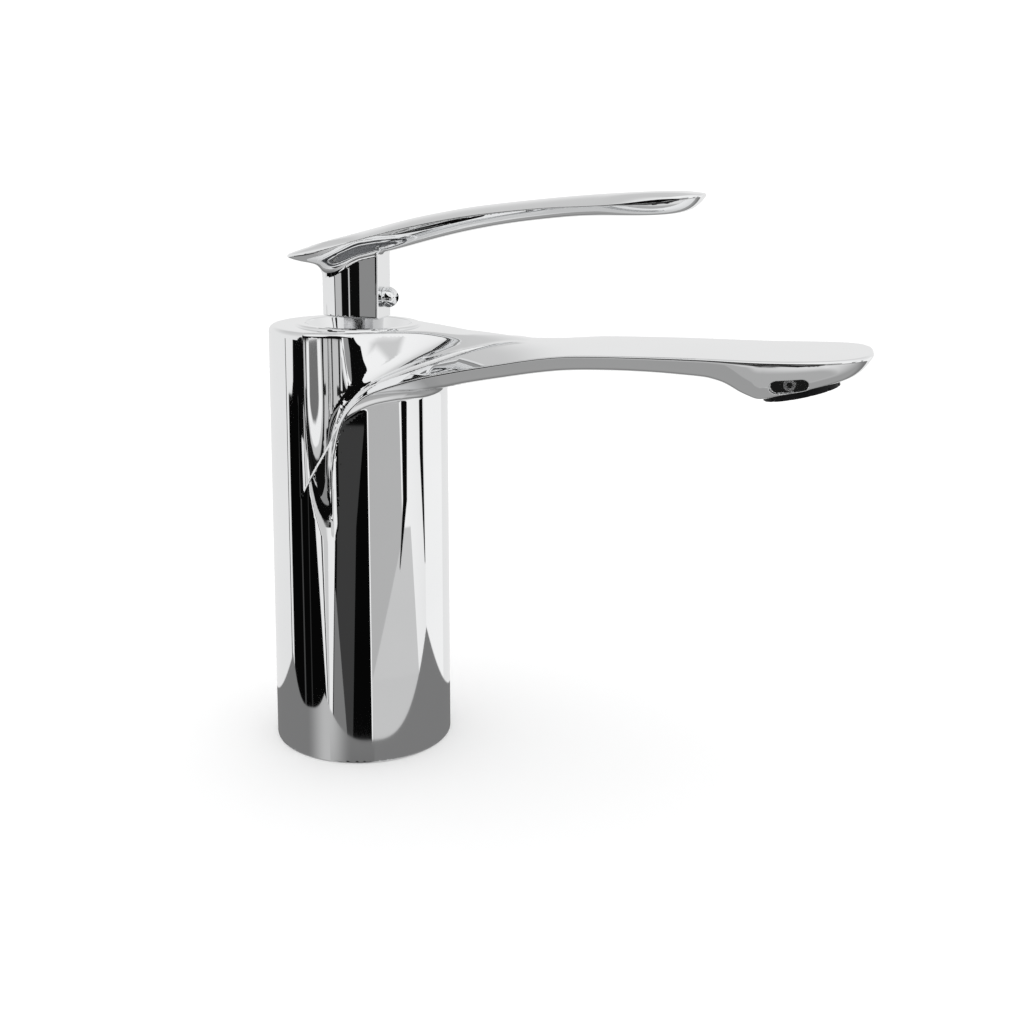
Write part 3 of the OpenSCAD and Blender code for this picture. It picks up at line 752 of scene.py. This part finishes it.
# Panels round the object as the chrome sees them. Each has a top and a bottom edge: degrees above level,
# then its left and right ends in degrees round from +X. The last number is its brightness.
PANELS = [
    # beside the stem
    ((4, -147.5, -145.5), (-6.6, -147.5, -145.5), 0.01),
    ((4, -145.5, -135), (-6.6, -145.5, -135), 0.50),
    ((4, -135, -113.5), (-6.6, -135, -113.5), 0.004),
    ((4, -125.6, -124.2), (-6.6, -125.6, -124.2), 0.60),
    ((4, -113.5, -106.5), (-6.6, -113.5, -106.5), 0.26),
    ((4, -106.5, -80), (-6.6, -106.5, -80), 0.004),
    # beside the top of the column
    ((-6.6, -161, -103), (-8.8, -162, -103), 0.003),
    ((-8.8, -162, -103), (-11, -171, -104), 0.003),
    ((-6.6, -103, -76), (-9.6, -103, -76), 0.56),
    ((-6.6, -101.5, -100), (-9.6, -101.5, -100), 0.02),
    ((-6.6, -84, -80), (-9.6, -84, -80), 0.90),
    ((-6.6, -90, -86), (-9.6, -90, -86), 0.01),
    ((-6.6, -79.5, -76), (-9.6, -79.5, -76), 0.17),
    ((-4, -76, -57), (-9.6, -76, -57), 0.30),
    ((2.3, -57, -37.5), (-9.6, -57, -37.5), 0.003),
    ((2.3, -80, -37.5), (-4, -80, -50), 0.003),
    ((5, -110, -47), (2.3, -100, -37.5), 0.003),
    ((12, -120, -62), (5, -110, -47), 0.003),
    ((36, -135, -95), (12, -120, -62), 0.003),
    ((57, -158, -134), (36, -122, -95), 0.003),
    # round the column, from left to right
    ((-6, -176.5, -175.2), (-24, -176, -174.5), 0.05),
    ((-9.5, -171, -137), (-14, -171, -132), 0.002),
    ((-14, -171, -132), (-24, -171, -117), 0.002),
    ((-9.5, -153, -151.6), (-24, -152.2, -150), 0.06),
    ((-13, -141, -140), (-24, -141, -139.5), 0.03),
    ((-9.5, -127, -124.5), (-24, -116.6, -115.6), 0.01),
    ((-9.5, -122, -112), (-24, -115.6, -114.4), 0.60),
    ((-9.5, -101, -60), (-14, -102, -60), 0.002),
    ((-14, -102, -60), (-26, -113.6, -60), 0.002),
    ((-10.5, -98, -64), (-15, -100, -76), 0.045),
    ((-15, -100, -76), (-26, -110, -86), 0.045),
    ((-18, -105, -104), (-26, -112, -89), 0.20),
    ((-9.5, -60, -58.8), (-26, -60, -58.8), 1.0),
    ((-9.5, -58.8, -18), (-26, -58.8, -10), 0.47),
    ((-15.3, -13, -3), (-22, -58.8, 8), 0.60),
    ((-22, -58.8, 8), (-26, -58.8, 8), 0.58),
    ((2, -18, -3), (-14, -14, -8), 0.003),
    ((-14, -14, -8), (-17, -20, -18.8), 0.003),
    ((2, 11.5, 19), (-12, 13, 19), 0.003),
    ((-12, 13, 19), (-17, 20, 21.2), 0.003),
    ((10, 21, 62), (-25, 21.5, 62), 0.93),
    # into the lock screw's slot
    ((-8.7, -94.5, -89), (-10.6, -94.5, -89), 0.01),
]
# Panels with soft edges, over the floor's reflection and high up
SHADED = [
    ((-31.5, -112, -60), (-48, -92, -62), 0.004),
    ((30, -62, -42), (14, -42, -37), 0.62),
    ((-64, -150, 20), (-86, -150, 20), 0.42),
]
# The middle of the room's bright side, in degrees round from +X
FRONT = -50
# Degrees in a radian
DEGREES = 57.2958
# Brightness of the white room for everything but reflections
ROOM_LIGHT = 1.2


def direction(tree):
    """Degrees round from +X, cut behind the object, and degrees above level, of a ray."""
    place = tree.nodes.new("ShaderNodeTexCoord")
    split = tree.nodes.new("ShaderNodeSeparateXYZ")
    tree.links.new(place.outputs["Generated"], split.inputs[0])
    x, y, z = split.outputs[0], split.outputs[1], split.outputs[2]
    turn = math_node(tree, "MULTIPLY", math_node(tree, "ARCTAN2", y, x), DEGREES)
    rise = math_node(tree, "MULTIPLY", math_node(tree, "ARCSINE", z), DEGREES)
    return math_node(tree, "WRAP", turn, 110, -250), rise


def bowl(tree, turn, middle, low, lift, half, power):
    """The lower edge of a screen: lowest in the middle, lift degrees higher at half its width."""
    away = math_node(tree, "ABSOLUTE", math_node(tree, "SUBTRACT", turn, middle))
    bent = math_node(tree, "POWER", math_node(tree, "DIVIDE", away, half), power)
    return math_node(tree, "MULTIPLY_ADD", bent, lift, low)


def screens_edge(tree, turn):
    """Where the three screens round the object end above the floor."""
    front = bowl(tree, turn, -60, -24.6, 4.5, 81, 3)
    left = bowl(tree, turn, -143, -23.3, 0.6, 20, 3)
    opposite = math_node(tree, "ABSOLUTE", math_node(tree, "ADD", turn, 70))
    behind = math_node(tree, "DIVIDE", math_node(tree, "SUBTRACT", 180, opposite), 89)
    back = math_node(tree, "MULTIPLY_ADD", math_node(tree, "POWER", behind, 3), 3.3, -23.2)
    return math_node(tree, "MINIMUM", math_node(tree, "MINIMUM", front, left), back)


def panel_mask(tree, turn, rise, panel, soft=0.3, sharpness=5):
    """1 on a panel and 0 off it, with its edges soft degrees wide; sharpness narrows the level edges."""
    (high, left_high, right_high), (low, left_low, right_low), _ = panel
    up = ramp(tree, rise, low, high)
    up.node.interpolation_type = "LINEAR"
    left = math_node(tree, "MULTIPLY_ADD", up, left_high - left_low, left_low)
    right = math_node(tree, "MULTIPLY_ADD", up, right_high - right_low, right_low)
    within = math_node(tree, "MINIMUM", math_node(tree, "SUBTRACT", turn, left),
                       math_node(tree, "SUBTRACT", right, turn))
    above = math_node(tree, "MULTIPLY_ADD", rise, sharpness, soft - low * sharpness)
    below = math_node(tree, "MULTIPLY_ADD", rise, -sharpness, soft + high * sharpness)
    within = math_node(tree, "MINIMUM", within, math_node(tree, "MINIMUM", above, below))
    return ramp(tree, within, -soft, soft)


def sky_tone(tree, turn, rise, front, back):
    """The room's walls and ceiling: brightest in front, dimmer high up behind, with the panels on them."""
    tone = math_node(tree, "MULTIPLY_ADD", front, 0.12, 0.82)
    dimmed = math_node(tree, "MULTIPLY", back, ramp(tree, rise, 12, 38))
    tone = math_node(tree, "MULTIPLY_ADD", dimmed, -0.22, tone)
    for panel in PANELS:
        tone = mix(tree, panel_mask(tree, turn, rise, panel), tone, panel[2])
    return tone


def floor_tone(tree, turn, rise, front):
    """The floor: a sheen in front that fades to the sides, and its own light straight below."""
    off_middle = math_node(tree, "ABSOLUTE", math_node(tree, "ADD", turn, 118))
    sheen = ramp(tree, off_middle, 2, 32, 0.50, 0.20)
    deep = ramp(tree, rise, -40, -26, 1, 0)
    lit = math_node(tree, "MULTIPLY_ADD", front, 0.42, 0.34)
    return mix(tree, deep, sheen, lit)


def reflected_tone(tree):
    """What the chrome sees in each direction."""
    turn, rise = direction(tree)
    facing = math_node(tree, "COSINE", math_node(tree, "MULTIPLY_ADD", turn, 1 / DEGREES, -FRONT / DEGREES))
    front = math_node(tree, "MAXIMUM", facing, 0)
    back = math_node(tree, "MAXIMUM", math_node(tree, "MULTIPLY", facing, -1), 0)
    sky = sky_tone(tree, turn, rise, front, back)
    floor = floor_tone(tree, turn, rise, front)
    over_edge = math_node(tree, "SUBTRACT", rise, screens_edge(tree, turn))
    tone = mix(tree, ramp(tree, over_edge, -0.05, 0.05), floor, sky)
    for panel in SHADED:
        tone = mix(tree, panel_mask(tree, turn, rise, panel, soft=4, sharpness=1), tone, panel[2])
    return tone


def make_world():
    """A white room for the camera and the floor; the panels show only in reflections."""
    world = bpy.data.worlds.new("studio")
    bpy.context.scene.world = world
    world.use_nodes = True
    tree = world.node_tree
    tree.nodes.clear()
    path = tree.nodes.new("ShaderNodeLightPath")
    tone = mix(tree, path.outputs["Is Glossy Ray"], ROOM_LIGHT, reflected_tone(tree))
    background = tree.nodes.new("ShaderNodeBackground")
    background.inputs["Color"].default_value = (1, 1, 1, 1)
    output = tree.nodes.new("ShaderNodeOutputWorld")
    tree.links.new(tone, background.inputs["Strength"])
    tree.links.new(background.outputs[0], output.inputs[0])


def make_floor():
    """A pale matt floor that the chrome doesn't reflect, as the world already holds its reflection."""
    bpy.ops.mesh.primitive_plane_add(size=6, location=(0, 0, 0))
    floor = bpy.context.object
    floor.name = "floor"
    m, shader = new_material("pale_floor", (0.93, 0.93, 0.93), 0.0, 0.9)
    shader.inputs["Specular IOR Level"].default_value = 0
    floor.data.materials.append(m)
    floor.visible_glossy = False


# The camera's place in metres, its line of sight, its roll in degrees and its lens in millimetres
CAMERA_AT = (0.1223, -0.3168, 0.1595)
SIGHT = (-0.233, 0.934, -0.269)
ROLL = 0.99
LENS, SENSOR = 44.1, 36


def make_camera():
    """The view across the spout from -Y, a little above it."""
    camera = bpy.data.objects.new("camera", bpy.data.cameras.new("camera"))
    bpy.context.scene.collection.objects.link(camera)
    look = Vector(SIGHT).to_track_quat("-Z", "Y").to_matrix().to_4x4()
    roll = Matrix.Rotation(math.radians(ROLL), 4, "Z")
    camera.matrix_world = Matrix.Translation(CAMERA_AT) @ look @ roll
    camera.data.lens = LENS
    camera.data.sensor_width = SENSOR
    camera.data.clip_start = 0.01
    bpy.context.scene.camera = camera


# ---- the pieces -----------------------------------------------------------------------------
def make_body():
    """The body's shell, in place of its CAD node."""
    low, high = (body_low[0], body_low[1], 0), body_high
    piece = shape_from_field("body_shell", body_field, low, high, BODY_STEP)
    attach(piece, "root")
    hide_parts("body")
    return piece


def make_lever():
    """The lever's shell, in place of its CAD node."""
    piece = shape_from_field("lever_shell", lever_field, lever_low, lever_high, LEVER_STEP)
    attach(piece, "lever")
    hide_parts("lever")
    return piece


make_camera()
make_world()
make_floor()
materials = make_materials()
dress_cad_nodes(materials)
make_body().data.materials.append(materials["chrome_body"])
make_lever().data.materials.append(materials["chrome_lever"])
scene = bpy.context.scene
scene.view_settings.view_transform = "Standard"
